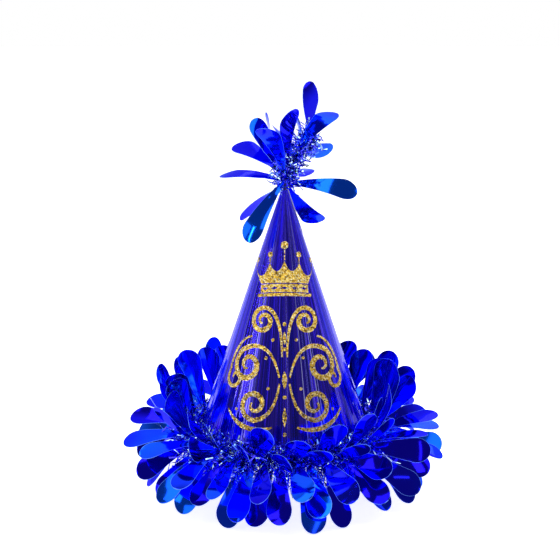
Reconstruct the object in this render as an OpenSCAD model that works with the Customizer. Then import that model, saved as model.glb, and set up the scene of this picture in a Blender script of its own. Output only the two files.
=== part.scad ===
// Cone party hat: rolled foil card, a raised glitter print, a foil-leaf garland glued round the hem
// and a tuft of the same garland at the tip. The floor is z = 0, the front faces -Y, +Z is up.

/* [Cone] */
// Radius of the hem, over the card's outer face
hem_r = 59; // [54:0.5:64]
// Height from the hem to the point where the cone's outer lines meet
cone_h = 174; // [160:1:190]
// Thickness of the foil-faced card
card_t = 0.45; // [0.3:0.05:0.7]
// Width of the glued lap at the back
lap_w = 12; // [8:0.5:18]
// Inner radius of the opening left at the rolled tip
tip_open_r = 1.6; // [1.5:0.1:2.2]

/* [Elastic slits] */
// Length of each slit for the chin elastic, level with the hem
slit_w = 4; // [3:0.5:6]
// Height of each slit
slit_t = 1; // [0.8:0.1:1.5]
// Height of the slits above the hem
slit_up = 11; // [10:0.5:14]

/* [Garland core] */
// Radius of the twisted core of the garland
core_r = 1.2; // [1:0.1:1.4]
// Gap between card and core, which the glue fills
glue_gap = 0.6; // [0.55:0.05:0.9]
// Height of the core's centre above the hem
core_up = 6; // [5:0.5:8]
// Beads of hot-melt glue round the hem
glue_beads = 10; // [6:1:12]
// Length of each bead along the core
bead_l = 3.6; // [2:0.2:4.4]
// Height of each bead on the card
bead_h = 4.4; // [3.6:0.2:5.4]

/* [Foil leaves] */
// Length of a leaf from its neck to its round end
leaf_l = 44; // [40:1:50]
// Width of a leaf at its round end
leaf_w = 16; // [12:0.5:17]
// Width of a leaf at its neck
neck_w = 2; // [1.6:0.2:2.2]
// Thickness of the leaf film
film_t = 0.2; // [0.15:0.05:0.3]
// Radius that a leaf curls to along its length
curl_r = 85; // [75:5:120]
// Gap between the core and a leaf's neck
neck_gap = 0.3; // [0.25:0.05:0.5]

/* [Fringe] */
// Reach of the fine fringe from the core's centre
fringe_r = 5; // [4:0.5:6]
// Thickness of one star of fringe
fringe_t = 0.2; // [0.15:0.05:0.3]
// Radius of the fringe's hub, beside the core
hub_r = 1.65; // [1.55:0.05:1.7]

/* [Tuft] */
// Radius of the arc that the tuft's core bends to
arc_r = 42; // [36:1:50]
// Angle of that arc
arc_deg = 58; // [45:1:70]
// Length of core that is tucked down inside the tip
tuck_l = 10; // [8:1:16]
// Depth of the glue plug inside the tip
plug_l = 7; // [5:0.5:8]

/* [Print] */
// Height of the glitter over the card
glitter_t = 0.2; // [0.15:0.05:0.4]
// Distance from the cone's point to the crown's foot, along the card
crown_s = 75; // [70:0.5:80]
// Half the width of the crown's foot bar
crown_half = 18.5; // [16:0.5:20]
// Height of the crown's foot bar
crown_bar = 2; // [1.5:0.1:2.5]
// Height of each half of the crown's band
crown_rail = 2.5; // [2:0.1:3]
// Distance from the cone's point to the middle of the scrollwork, along the card
scroll_s = 122; // [118:0.5:124]
// Width of the scrolls where they are broadest
scroll_w = 3.2; // [2.4:0.1:3.6]

/* [Hidden] */
$fn = 64;
// Sprays of five leaves round the hem, and the fan angle of each row over the horizontal
SPRAYS = 22;
FANS = [-25, -6, 18, 45, 72];
ROW_ORDER = [0, 3, 1, 4, 2];
LEAVES = SPRAYS * len(FANS);
LEAF_STEP = 360 / LEAVES;
// How far each row is laid lower at the front, where it would hide the print
FRONT_DROPS = [0, 12, 20, 36, 50];
// How much lower the bottom row hangs at the front and back than at the sides. In every third spray
// its leaf carries the hat; the others are lifted clear of the floor.
END_DROP = 15;
CARRY_EVERY = 3;
CARRY_LIFT = 8;
// Turn of the leaves at the sides, which shows their faces to the front: bottom row, other rows
SIDE_TWISTS = [13.5, 45];
// Swing of the leaves about their row: fan, sideways lean, twist, and share of their length
FAN_SWING = 5;
LEAN_SWING = 9;
TWIST_SWING = 42;
LENGTH_SWING = 0.08;
// Steps of the low-repeat sequences that spread those swings
FAN_STEP = 0.51;
LEAN_STEP = 0.564;
TWIST_STEP = 0.606;
LENGTH_STEP = 0.268;
CURL_STEP = 0.401;
// Stars of fringe round the hem and on the tuft
HEM_STARS = 60;
TUFT_STARS = 9;
STAR_ANGLES = [-60, -40, -15, 6, 32, 58, 88];
HUB_ANGLES = [118, 145, 180, 215, 245];
TUFT_ARMS = 10;
ARM_HALF_DEG = 9;
// Crown: share of its width that the band takes, lozenges pierced in the band, and its body's points,
// dips and balls, across as shares of half its width and upward in millimetres
BAND_SHARE = 0.88;
LOZENGES = 5;
CROWN_X = [-1.22, -0.53, 0, 0.53, 1.22];
CROWN_Y = [11.5, 13, 14.2, 13, 11.5];
CROWN_DIPS = [5.3, 7.5, 7.5, 5.3];
CROWN_BALLS = [16.6, 18.5, 24.2, 18.5, 16.6];
// Compass angle of the first bead, just clear of the lap, so that all sit on single card
FIRST_BEAD_DEG = 97;
// Tuft leaves: place along the core, compass angle, rise, twist, curl side
TUFT = [
    [0.95, 100, 30, 40, -1], [0.65, -45, 50, -30, 1], [0.60, 70, 5, -40, 1], [0.10, -15, 5, 40, 1],
    [0.08, 40, -55, -30, -1], [0.12, -140, -40, -20, 1], [0.04, 135, -20, 0, 1], [0.13, 160, 15, -20, 1],
    [0.22, 145, 35, -20, 1], [0.25, -115, 60, 0, 1], [0.25, 130, 30, 10, -1], [0.35, 130, 35, 60, -1],
    [0.35, -105, 70, 50, 1], [0.40, 90, 35, 40, 1], [0.85, 110, 5, 80, -1], [0.25, 75, 5, -10, 1]];

half_deg = atan(hem_r / cone_h);
slant = norm([hem_r, cone_h]);
root_off = core_r + neck_gap;
// The leaf that dips lowest sets the core's height over the floor
core_z = max([for (j = [0:CARRY_EVERY:SPRAYS - 1]) tip_dip(low_fan(j * len(FANS) * LEAF_STEP))]);
hem_z = core_z - core_up;
apex_z = hem_z + cone_h;
ring_r = wall_r(core_up) + (core_r + glue_gap) / cos(half_deg);
// The card stops where its inner face is as wide as the tip opening
inner_drop = card_t / sin(half_deg);
tip_h = cone_h - inner_drop - tip_open_r / tan(half_deg);
tip_z = hem_z + tip_h;
crown_body_s = crown_bar + 2 * crown_rail + 1.5 - crown_s;

function two_digits(n) = n < 10 ? str("0", n) : str(n);
function spray_name(j) = str("brim_leaves_", two_digits(j + 1));
function tuft_name(k) = str("tip_leaf_", two_digits(k + 1));
// Radius of the card's outer face at a height above the hem
function wall_r(h) = (cone_h - h) * tan(half_deg);
// Fan angle of a bottom-row leaf, and how far the tip of one that carries the hat dips under the core
function low_fan(turn) = FANS[0] - END_DROP * pow(sin(turn), 2);
function tip_dip(fan) = cos(fan) * (curl_r - sqrt(pow(curl_r - film_t / 2, 2) - pow(leaf_l, 2)))
    - (leaf_l + root_off) * sin(fan);
// A value from -1 to 1 that wanders without repeating as i counts up
function wobble(i, step) = 2 * (i * step - floor(i * step)) - 1;
function polar(r, a) = [r * cos(a), r * sin(a)];

// A point of the flat card, from the cone's point at [0, 0], laid on the cone and lifted off it by d
function on_cone(p, d) =
    let (s = norm(p), turn = atan2(p[0], -p[1]) / sin(half_deg), r = s * sin(half_deg) + d * cos(half_deg))
    [r * sin(turn), -r * cos(turn), apex_z - s * cos(half_deg) + d * sin(half_deg)];

module cone(radius, height, top_h) {
    rotate_extrude()
        polygon([[0, 0], [radius, 0], [radius * (1 - top_h / height), top_h], [0, top_h]]);
}

// Rolled card: one sheet whose edge laps over itself along the back
module cone_card() color("mediumblue") {
    lap_grow = card_t / cos(half_deg);
    inner_r = hem_r - card_t / cos(half_deg);
    translate([0, 0, hem_z]) difference() {
        union() {
            cone(hem_r, cone_h, tip_h);
            intersection() {
                cone(hem_r + lap_grow, cone_h * (hem_r + lap_grow) / hem_r, tip_h);
                translate([0, 0, -1]) cube([lap_w, 2 * hem_r, cone_h]);
            }
        }
        translate([0, 0, -1])
            cone(inner_r + tan(half_deg), (inner_r + tan(half_deg)) / tan(half_deg), cone_h - inner_drop);
        for (side = [-1, 1])
            translate([side * wall_r(slit_up) - 3, -slit_w / 2, slit_up - slit_t / 2])
                cube([6, slit_w, slit_t]);
    }
}

// Closed strip of glitter through stations, each a row of points across the strip on the flat card
module glitter_strip(stations) {
    lift = 0.06;
    m = len(stations[0]);
    turn = 2 * m;
    points = [for (s = stations) each
        concat([for (p = s) on_cone(p, lift)], [for (k = [1:m]) on_cone(s[m - k], glitter_t)])];
    walls = [for (i = [0:len(stations) - 2]) for (k = [0:turn - 1])
        let (a = turn * i + k, b = turn * i + (k + 1) % turn) [a + turn, b + turn, b, a]];
    last = turn * (len(stations) - 1);
    polyhedron(points, concat(walls,
        [[for (k = [0:turn - 1]) k], [for (k = [1:turn]) last + turn - k]]));
}

// Flat-card ribbon along a spine, w0 wide at its start, w1 in its middle and w2 at its end
module ribbon(spine, w0, w1, w2) {
    n = len(spine) - 1;
    glitter_strip([for (i = [0:n])
        let (t = i / n,
             way = spine[min(i + 1, n)] - spine[max(i - 1, 0)],
             across = [-way[1], way[0]] / norm(way),
             w = (t < 0.5 ? w0 + (w1 - w0) * sin(180 * t) : w2 + (w1 - w2) * sin(180 * t)) / 2)
        [spine[i] - across * w, spine[i] + across * w]]);
}

module dot(centre, r) {
    glitter_strip([for (a = [-60, -20, 20, 60])
        [centre + r * [sin(a), -cos(a)], centre + r * [sin(a), cos(a)]]]);
}

// Crown: foot bar, band with five pierced lozenges, five-pointed body and balls on its points
module crown_foot() {
    glitter_strip([for (x = [-1:0.1:1]) [[x * crown_half, -crown_s], [x * crown_half, crown_bar - crown_s]]]);
}

module crown_band() {
    pitch = 2 * crown_half * BAND_SHARE / LOZENGES;
    for (side = [-1, 1]) {
        mid = crown_bar + crown_rail + 0.7 - crown_s + side * 0.1;
        glitter_strip([for (c = [0:LOZENGES]) for (u = c < LOZENGES ? [0, 0.2, 0.5, 0.8] : [0])
            let (x = (c + u - LOZENGES / 2) * pitch, bite = u == 0.5 ? 0.8 : 0)
            [[x, side > 0 ? mid + bite : mid - crown_rail], [x, side > 0 ? mid + crown_rail : mid - bite]]]);
    }
}

// Body of the crown: its top edge hangs in arcs between the five points
module crown_body() {
    steps = 8;
    glitter_strip([for (g = [0:3]) for (i = [0:g < 3 ? steps - 1 : steps])
        let (u = i / steps,
             x = (CROWN_X[g] + (CROWN_X[g + 1] - CROWN_X[g]) * u) * crown_half,
             arc = pow(abs(2 * u - 1), 2.2),
             top = CROWN_DIPS[g] * (1 - arc) + arc * CROWN_Y[u < 0.5 ? g : g + 1],
             foot_x = x * BAND_SHARE / CROWN_X[4])
        [for (v = [0:0.25:1]) [foot_x + (x - foot_x) * v, crown_body_s + top * v]]]);
}

module crown_balls() {
    for (i = [0:4]) {
        tip = [CROWN_X[i] * crown_half, crown_body_s + CROWN_Y[i] + 0.3];
        ball = [CROWN_X[i] * crown_half * 0.98, crown_body_s + CROWN_BALLS[i]];
        way = (ball - tip) / norm(ball - tip);
        ball_r = i == 2 ? 2.6 : 1.9;
        ribbon([tip, ball - way * (ball_r + 0.3)], 0.6, 0.6, 0.6);
        dot(ball, ball_r);
    }
}

module crown_print() color("goldenrod") {
    crown_foot();
    crown_band();
    crown_body();
    crown_balls();
}

// Points of a curl that winds from radius r0 to r1 round a centre
function curl(centre, r0, r1, a0, a1, steps) =
    [for (i = [0:steps]) let (t = i / steps) centre + polar(r0 + (r1 - r0) * t, a0 + (a1 - a0) * t)];
// Points of a cubic curve without its last one
function sweep(a, b, c, d, steps) =
    [for (i = [0:steps - 1]) let (t = i / steps, u = 1 - t)
        a * u * u * u + 3 * b * u * u * t + 3 * c * u * t * t + d * t * t * t];
function across_y(points, side) = [for (p = points) [side * p[0], p[1]]];

// Scrollwork under the crown: mirrored curls, drops and dots round a middle line
module scroll_print() color("goldenrod") {
    mid = -scroll_s;
    thin = 1.1;
    for (side = [-1, 1]) {
        // Rising pair below the crown
        ribbon(across_y(concat(
            sweep([1.6, mid + 8], [1.6, mid + 24], [4, mid + 40], [14, mid + 40], 9),
            curl([14, mid + 31.5], 8.5, 1.6, 90, -430, 22)), side), thin, scroll_w, thin);
        // Broad pair at the middle
        ribbon(across_y(concat(
            sweep([3.4, mid - 5], [7, mid + 15], [17, mid + 17], [25, mid + 15], 9),
            curl([25, mid + 3.5], 11.5, 2, 90, -450, 24)), side), thin, scroll_w * 1.2, thin);
        // Hanging pair under it
        ribbon(across_y(concat(
            sweep([3.2, mid - 9], [6, mid - 26], [12, mid - 31], [20, mid - 32], 9),
            curl([20, mid - 22], 10, 1.8, -90, 400, 22)), side), thin, scroll_w * 1.1, thin);
        // Outer pair, which runs round to the sides
        ribbon(across_y(concat(
            sweep([22, mid + 22], [30, mid + 22], [38, mid + 14], [41, mid + 2], 8),
            curl([35.5, mid - 4], 7.5, 1.6, 45, -360, 16)), side), thin, scroll_w * 0.8, thin);
        ribbon(across_y(
            sweep([8, mid - 36.5], [18, mid - 40], [34, mid - 38], [42, mid - 20], 14), side),
            thin, scroll_w, thin);
        for (d = [[7.5, 19], [12, 7.5], [10.5, -12], [33, -24.5]])
            dot([side * d[0], mid + d[1]], 1.1);
    }
    // Drops down the middle
    for (d = [[24, 8, 2.2], [-1, 11, 3.2], [-24, 12, 2.6]])
        ribbon([for (t = [0:0.125:1]) [0, mid + d[0] - d[1] * t]], 0.4, d[2], 0.4);
    for (y = [29, 13, -17.5, -41]) dot([0, mid + y], 1.3);
}

// Garland core: twisted thread and wire, a ring that hugs the hem
module brim_core() color("midnightblue") {
    translate([0, 0, core_z]) rotate_extrude() translate([ring_r, 0]) circle(core_r);
}

// Beads of hot-melt between card and core, flush with both
module brim_glue() color("lightsteelblue") {
    span = bead_l / ring_r * 180 / PI;
    for (b = [0:glue_beads - 1])
        rotate([0, 0, FIRST_BEAD_DEG + 360 * b / glue_beads - span / 2])
            translate([0, 0, hem_z]) rotate_extrude(angle = span) difference() {
                polygon([[wall_r(core_up - bead_h / 2), core_up - bead_h / 2],
                    [ring_r, core_up - core_r * 0.9], [ring_r, core_up + core_r * 0.9],
                    [wall_r(core_up + bead_h / 2), core_up + bead_h / 2]]);
                translate([ring_r, core_up]) circle(core_r);
            }
}

// Outline of a leaf: straight flanks from a narrow neck to a round end
module leaf_outline(length) {
    end_r = leaf_w / 2;
    flank_x = length - end_r * 1.2;
    union() {
        polygon([[0, -neck_w / 2], [flank_x, -end_r * 0.9], [flank_x, end_r * 0.9], [0, neck_w / 2]]);
        translate([length - end_r, 0]) circle(end_r);
    }
}

// Film leaf that starts at the origin, runs along +X and curls down, or up with side -1
module leaf(length, side) {
    reach = asin(length / curl_r);
    margin = 2;
    sag = curl_r * (1 - cos(reach));
    mirror([0, 0, side < 0 ? 1 : 0]) intersection() {
        translate([0, 0, -sag - 1]) linear_extrude(sag + 2) leaf_outline(length);
        translate([0, 0, -curl_r]) rotate([90, 0, 0]) rotate([0, 0, 90 - reach - margin])
            rotate_extrude(angle = reach + 2 * margin, $fn = 180)
                translate([curl_r - film_t / 2, -leaf_w / 2 - 1]) square([film_t, leaf_w + 2]);
    }
}

// Leaf number i round the hem
module hem_leaf(i) {
    row = ROW_ORDER[i % len(FANS)];
    low = row == 0 ? 1 : 0;
    free = low == 1 && floor(i / len(FANS)) % CARRY_EVERY == 0 ? 0 : 1;
    turn = LEAF_STEP * i;
    front = max(0, -sin(turn));
    fan = (low == 1 ? low_fan(turn) : FANS[row] - FRONT_DROPS[row] * front)
        + free * (low * CARRY_LIFT + FAN_SWING * wobble(i, FAN_STEP));
    lean = free * LEAN_SWING * wobble(i, LEAN_STEP);
    twist = free * (TWIST_SWING * wobble(i, TWIST_STEP)
        + SIDE_TWISTS[1 - low] * cos(turn) * abs(cos(turn)));
    length = leaf_l * (1 + free * LENGTH_SWING * wobble(i, LENGTH_STEP));
    side = low == 1 || wobble(i, CURL_STEP) > 0 ? 1 : -1;
    rotate([0, 0, turn]) translate([ring_r, 0, core_z]) rotate([0, -fan, 0])
        rotate([0, 0, lean]) translate([root_off, 0, 0]) rotate([twist, 0, 0]) leaf(length, side);
}

module spray(j) color("blue") {
    for (i = [0:len(FANS) - 1]) hem_leaf(len(FANS) * j + i);
}

// One star of fringe round the core, cut in the plane across it
module star(tips, hub) {
    rim = [for (a = tips) each
        [polar(hub, a - ARM_HALF_DEG), polar(fringe_r, a), polar(hub, a + ARM_HALF_DEG)]];
    linear_extrude(fringe_t, center = true) difference() {
        polygon(concat(rim, len(tips) == TUFT_ARMS ? [] : [for (a = HUB_ANGLES) polar(hub_r, a)]));
        circle(core_r + 0.1);
    }
}

module brim_fringe() color("navy") {
    for (s = [0:HEM_STARS - 1])
        rotate([0, 0, 360 / HEM_STARS * (s + 0.25)]) translate([ring_r, 0, core_z])
            rotate([90, 0, 0]) star(STAR_ANGLES, hub_r);
}

// Place on the tuft's core at a share h of its arc, and the way the core runs there
function stem_at(h) = [arc_r * (1 - cos(arc_deg * h)), 0, tip_z + arc_r * sin(arc_deg * h)];
function stem_way(h) = [sin(arc_deg * h), 0, cos(arc_deg * h)];

// One bent length of core, from inside the tip to the end of the tuft
module bent_core() {
    tuck_deg = tuck_l / arc_r * 180 / PI;
    translate([arc_r, 0, tip_z]) rotate([90, 0, 0]) rotate([0, 0, 180 - arc_deg])
        rotate_extrude(angle = arc_deg + tuck_deg, $fn = 128) translate([arc_r, 0]) circle(core_r);
}

// Tuft core: tucked down the tip, then bent over to the right
module tip_core() color("midnightblue") {
    bent_core();
}

module tip_fringe() color("navy") {
    for (s = [0:TUFT_STARS - 1]) {
        h = (s + 0.5) / TUFT_STARS;
        translate(stem_at(h)) rotate([0, arc_deg * h, 0])
            rotate([0, 0, 180 * wobble(s, FAN_STEP) / TUFT_ARMS])
                star([for (k = [0:TUFT_ARMS - 1]) 360 * k / TUFT_ARMS], hub_r);
    }
}

// Plug of hot-melt that fills the tip between card and core
module tip_glue() color("lightsteelblue") {
    foot = tip_h - 1 - plug_l;
    inner_foot = wall_r(foot + inner_drop);
    inner_top = wall_r(tip_h - 1 + inner_drop);
    difference() {
        translate([0, 0, hem_z]) rotate_extrude()
            polygon([[0, foot], [inner_foot, foot], [inner_top, tip_h - 1], [0, tip_h - 1]]);
        bent_core();
    }
}

module tip_leaf(k) color("blue") {
    row = TUFT[k];
    way = stem_way(row[0]);
    aim = [cos(row[2]) * cos(row[1]), cos(row[2]) * sin(row[1]), sin(row[2])];
    off = aim - (aim * way) * way;
    translate(stem_at(row[0]) + off / norm(off) * root_off)
        rotate([0, 0, row[1]]) rotate([0, -row[2], 0]) rotate([row[3], 0, 0]) leaf(leaf_l, row[4]);
}

cone_card();
crown_print();
scroll_print();
brim_core();
brim_fringe();
brim_glue();
for (j = [0:SPRAYS - 1]) spray(j);
tip_core();
tip_fringe();
tip_glue();
for (k = [0:len(TUFT) - 1]) tip_leaf(k);
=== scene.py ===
"""Cone party hat of foil card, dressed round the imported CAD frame.

The hat is a rolled cone of metallised card with a raised glitter print, a garland of foil leaves
and tinsel glued round its hem, and a tuft of the same garland at its tip. Sizes are in
millimetres, as in the part's source, and become metres only where a mesh is made.
"""

from __future__ import annotations

import logging
import math
from dataclasses import dataclass, field
from enum import Enum
from typing import Any

import bpy
import numpy as np
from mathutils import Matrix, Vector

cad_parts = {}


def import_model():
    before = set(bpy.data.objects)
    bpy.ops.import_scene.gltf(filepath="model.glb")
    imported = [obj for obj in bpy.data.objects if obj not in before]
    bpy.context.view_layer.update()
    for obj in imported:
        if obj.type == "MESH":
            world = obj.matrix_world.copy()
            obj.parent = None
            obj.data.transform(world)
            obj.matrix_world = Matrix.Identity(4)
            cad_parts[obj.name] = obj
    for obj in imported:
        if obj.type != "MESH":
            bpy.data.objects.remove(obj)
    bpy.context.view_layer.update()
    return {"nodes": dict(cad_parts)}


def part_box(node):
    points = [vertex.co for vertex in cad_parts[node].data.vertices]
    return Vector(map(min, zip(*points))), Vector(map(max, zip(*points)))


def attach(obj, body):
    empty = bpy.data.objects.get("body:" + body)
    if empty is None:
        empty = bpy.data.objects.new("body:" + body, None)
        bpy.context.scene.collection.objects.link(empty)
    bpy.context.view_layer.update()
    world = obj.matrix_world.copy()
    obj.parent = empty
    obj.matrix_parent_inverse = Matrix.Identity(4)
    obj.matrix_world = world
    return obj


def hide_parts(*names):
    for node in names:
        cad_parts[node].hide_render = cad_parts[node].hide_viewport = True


LOG = logging.getLogger("party_hat")
MM = 0.001
BODY = "root"
WHITE = (1.0, 1.0, 1.0, 1.0)


class Curl(Enum):
    """The side that a leaf's film curls to, as the factor on its drop."""

    UNDER = 1
    OVER = -1


class Slot(Enum):
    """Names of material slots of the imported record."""

    CARD = "foil_card"
    LEAF = "leaf_film"
    FRINGE = "fringe_film"


def srgb(code: str) -> tuple[float, float, float, float]:
    """Turn an sRGB hex colour into linear RGBA.

    Args:
        code: Six hex digits after a hash.

    Returns:
        Linear red, green, blue and an alpha of 1.
    """
    channels = [int(code[i : i + 2], 16) / 255 for i in (1, 3, 5)]
    linear = [c / 12.92 if c <= 0.04045 else ((c + 0.055) / 1.055) ** 2.4 for c in channels]
    return linear[0], linear[1], linear[2], 1.0


def per_mm(size: float) -> float:
    """Texture scale on metre coordinates for a feature of this size in millimetres."""
    return 1000.0 / size


def add(tree: Any, kind: str, inputs: dict[Any, Any] | None = None,
        stops: tuple[tuple[float, str], ...] = (), **settings: Any) -> Any:
    """Add a node with its settings and colour stops, and link or set its inputs.

    Args:
        tree: Node tree that gets the node.
        kind: Blender's name for the node's type, less its prefix.
        inputs: Input name or number to a socket, which is linked, or a value, which is set.
        stops: Positions from 0 to 1 on a colour ramp, each with a hex colour.
        **settings: Attributes of the node itself.

    Returns:
        The new node.
    """
    node = tree.nodes.new(f"ShaderNode{kind}")
    for name, value in settings.items():
        setattr(node, name, value)
    if stops:
        band = node.color_ramp.elements
        while len(band) < len(stops):
            band.new(0.5)
        for element, (place, code) in zip(band, stops):
            element.position, element.color = place, srgb(code)
    for key, value in (inputs or {}).items():
        if isinstance(value, bpy.types.NodeSocket):
            tree.links.new(value, node.inputs[key])
        else:
            node.inputs[key].default_value = value
    return node


def bare_material(name: str) -> tuple[Any, Any]:
    """Make a material without nodes, and return it with its empty node tree."""
    material = bpy.data.materials.new(name)
    material.use_nodes = True
    material.node_tree.nodes.clear()
    return material, material.node_tree


def grid_quads(rows: int, columns: int, wrap: bool) -> np.ndarray:
    """Quads of a grid of points, numbered along its columns first.

    Args:
        rows: Number of rows of points.
        columns: Number of points in a row.
        wrap: Whether the last point of a row joins the first.

    Returns:
        An array of quads, whose normal is along the rows' step times the columns' step.
    """
    row = np.arange(rows - 1)[:, None]
    column = np.arange(columns if wrap else columns - 1)[None, :]
    after = (column + 1) % columns
    quads = [row * columns + column, (row + 1) * columns + column,
             (row + 1) * columns + after, row * columns + after]
    return np.stack(np.broadcast_arrays(*quads), axis=-1).reshape(-1, 4)


def tube_quads(rings: int, around: int) -> np.ndarray:
    """Quads of a flat closed tube: its walls, and an end cap for its first and last ring.

    A ring is a flat loop: its first half runs one way across, its second half back under it, so
    each cap is a strip of quads between the halves.

    Args:
        rings: Number of rings along the tube.
        around: Number of points in a ring, an even number.

    Returns:
        An array of quads that face outwards.
    """
    half = around // 2
    left = np.arange(half - 1)
    cap = np.stack([left, left + 1, around - 2 - left, around - 1 - left], axis=-1)
    far_cap = cap[:, ::-1] + (rings - 1) * around
    return np.concatenate([grid_quads(rings, around, True), cap, far_cap])


def turn(axis: int, degrees: np.ndarray) -> np.ndarray:
    """Rotation matrices about one axis.

    Args:
        axis: 0, 1 or 2 for X, Y or Z.
        degrees: Angles, one for each matrix.

    Returns:
        An array of 3 by 3 matrices.
    """
    angle = np.radians(np.asarray(degrees, dtype=float))
    matrix = np.zeros(angle.shape + (3, 3))
    one, two = (axis + 1) % 3, (axis + 2) % 3
    matrix[..., axis, axis] = 1
    matrix[..., one, one] = matrix[..., two, two] = np.cos(angle)
    matrix[..., one, two] = -np.sin(angle)
    matrix[..., two, one] = np.sin(angle)
    return matrix


def smooth_step(value: np.ndarray) -> np.ndarray:
    """Ease from 0 to 1 as the value goes from 0 to 1, flat at both ends."""
    share = np.clip(value, 0, 1)
    return share * share * (3 - 2 * share)


def make_piece(name: str, points: np.ndarray, quads: np.ndarray, material: Any,
               nodes: list[str], marks: dict[str, np.ndarray] | None = None,
               sharp: float = 40.0) -> Any:
    """Make a mesh piece that stands for CAD nodes and rides on the hat.

    Args:
        name: Name of the piece.
        points: Points in millimetres.
        quads: Faces as rows of four point numbers.
        material: Its finish.
        nodes: CAD nodes that it replaces.
        marks: Attributes of the points, each a name with an array of numbers.
        sharp: Angle in degrees over which an edge is kept sharp.

    Returns:
        The new object.
    """
    mesh = bpy.data.meshes.new(name)
    mesh.vertices.add(len(points))
    mesh.vertices.foreach_set("co", (points * MM).astype(np.float32).ravel())
    mesh.loops.add(quads.size)
    mesh.loops.foreach_set("vertex_index", quads.astype(np.int32).ravel())
    mesh.polygons.add(len(quads))
    mesh.polygons.foreach_set("loop_start", np.arange(0, quads.size, 4, dtype=np.int32))
    mesh.update(calc_edges=True)
    mesh.validate()
    mesh.polygons.foreach_set("use_smooth", np.ones(len(mesh.polygons), dtype=bool))
    mesh.set_sharp_from_angle(angle=math.radians(sharp))
    for mark, values in (marks or {}).items():
        layer = mesh.attributes.new(mark, "FLOAT", "POINT")
        layer.data.foreach_set("value", values.astype(np.float32).ravel())
    mesh.materials.append(material)
    piece = bpy.data.objects.new(name, mesh)
    bpy.context.scene.collection.objects.link(piece)
    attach(piece, BODY)
    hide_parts(*nodes)
    LOG.info("%s: %d points, %d faces", name, len(points), len(quads))
    return piece


def dress_node(name: str, material: Any) -> None:
    """Give a CAD node that stays in view its finish."""
    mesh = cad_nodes()[name].data
    mesh.materials.clear()
    mesh.materials.append(material)
    LOG.info("%s: dressed with %s", name, material.name)


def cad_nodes() -> dict[str, Any]:
    """Objects of the CAD nodes by name."""
    return FRAME["nodes"]


@dataclass(frozen=True)
class MetallisedFilm:
    """PET film with a vacuum-deposited coloured metal layer: a thin mirror with soft ripples.

    It gives the eye deep blue reflections with crisp borders, pale only at grazing angles, and
    small shifts of hue where the dye is thicker or thinner. Along the cut rim it is rougher and
    paler: the cut edge, with a painted highlight along it. Where its top colour is set paler
    than the thin dye, the palest share is painted near white, a painted highlight.
    """

    name: str = "metallised film"
    thick_dye: str = "#1000E6"
    dye: str = "#0828FF"
    thin_dye: str = "#0058FF"
    # Top of the dye's ramp: a painted highlight, near white where it is set paler than the thin dye
    painted_glint: str = "#0058FF"
    edge: str = "#7C90FF"
    # Paler colour along the cut rim: the cut edge, and a painted highlight along it
    cut_edge_and_highlight: str = "#6C98FF"
    roughness: float = 0.08
    rim_roughness: float = 0.4
    lacquer: float = 0.12
    cloud_mm: float = 30.0
    # Share of the change in dye and painted highlight that comes from clouds in the film; the rest
    # is each leaf's own
    cloud_share: float = 0.3
    ripple_mm: float = 12.0
    ripple_height_mm: float = 0.6
    ripple: float = 0.08

    def material(self) -> Any:
        """Build the film's material."""
        material, tree = bare_material(self.name)
        place = add(tree, "TexCoord").outputs["Object"]
        tint = add(tree, "Attribute", attribute_name="tint").outputs["Fac"]
        rim = add(tree, "Attribute", attribute_name="rim").outputs["Fac"]
        cloud = add(tree, "TexNoise", {"Vector": place, "Scale": per_mm(self.cloud_mm),
                                       "Detail": 1.0}).outputs["Fac"]
        clouded = add(tree, "Math", {0: cloud, 1: self.cloud_share},
                      operation="MULTIPLY").outputs[0]
        share = add(tree, "Math", {0: tint, 1: 1 - self.cloud_share, 2: clouded},
                    operation="MULTIPLY_ADD").outputs[0]
        # Dye from thick to thin, topped by a painted highlight colour
        dye_and_painted_light = add(tree, "ValToRGB", {"Fac": share}, (
            (0.34, self.thick_dye), (0.46, self.dye), (0.66, self.thin_dye),
            (0.72, self.painted_glint))).outputs["Color"]
        # Paler along the cut rim: the cut edge, with a painted highlight along it
        colour = add(tree, "Mix", {0: rim, 6: dye_and_painted_light, 7: srgb(self.cut_edge_and_highlight)},
                     data_type="RGBA").outputs[2]
        ripple = add(tree, "TexNoise", {"Vector": place, "Scale": per_mm(self.ripple_mm),
                                        "Detail": 1.5}).outputs["Fac"]
        bump = add(tree, "Bump", {"Height": ripple, "Strength": self.ripple,
                                  "Distance": self.ripple_height_mm * MM}).outputs["Normal"]
        blunt = add(tree, "Math", {0: rim, 1: self.rim_roughness, 2: self.roughness},
                    operation="MULTIPLY_ADD").outputs[0]
        shader = add(tree, "BsdfPrincipled", {
            "Base Color": colour, "Normal": bump, "Roughness": blunt, "Metallic": 1.0,
            "Specular Tint": srgb(self.edge), "Coat Weight": self.lacquer,
            "Coat Roughness": 0.04})
        add(tree, "OutputMaterial", {"Surface": shader.outputs[0]})
        return material


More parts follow.
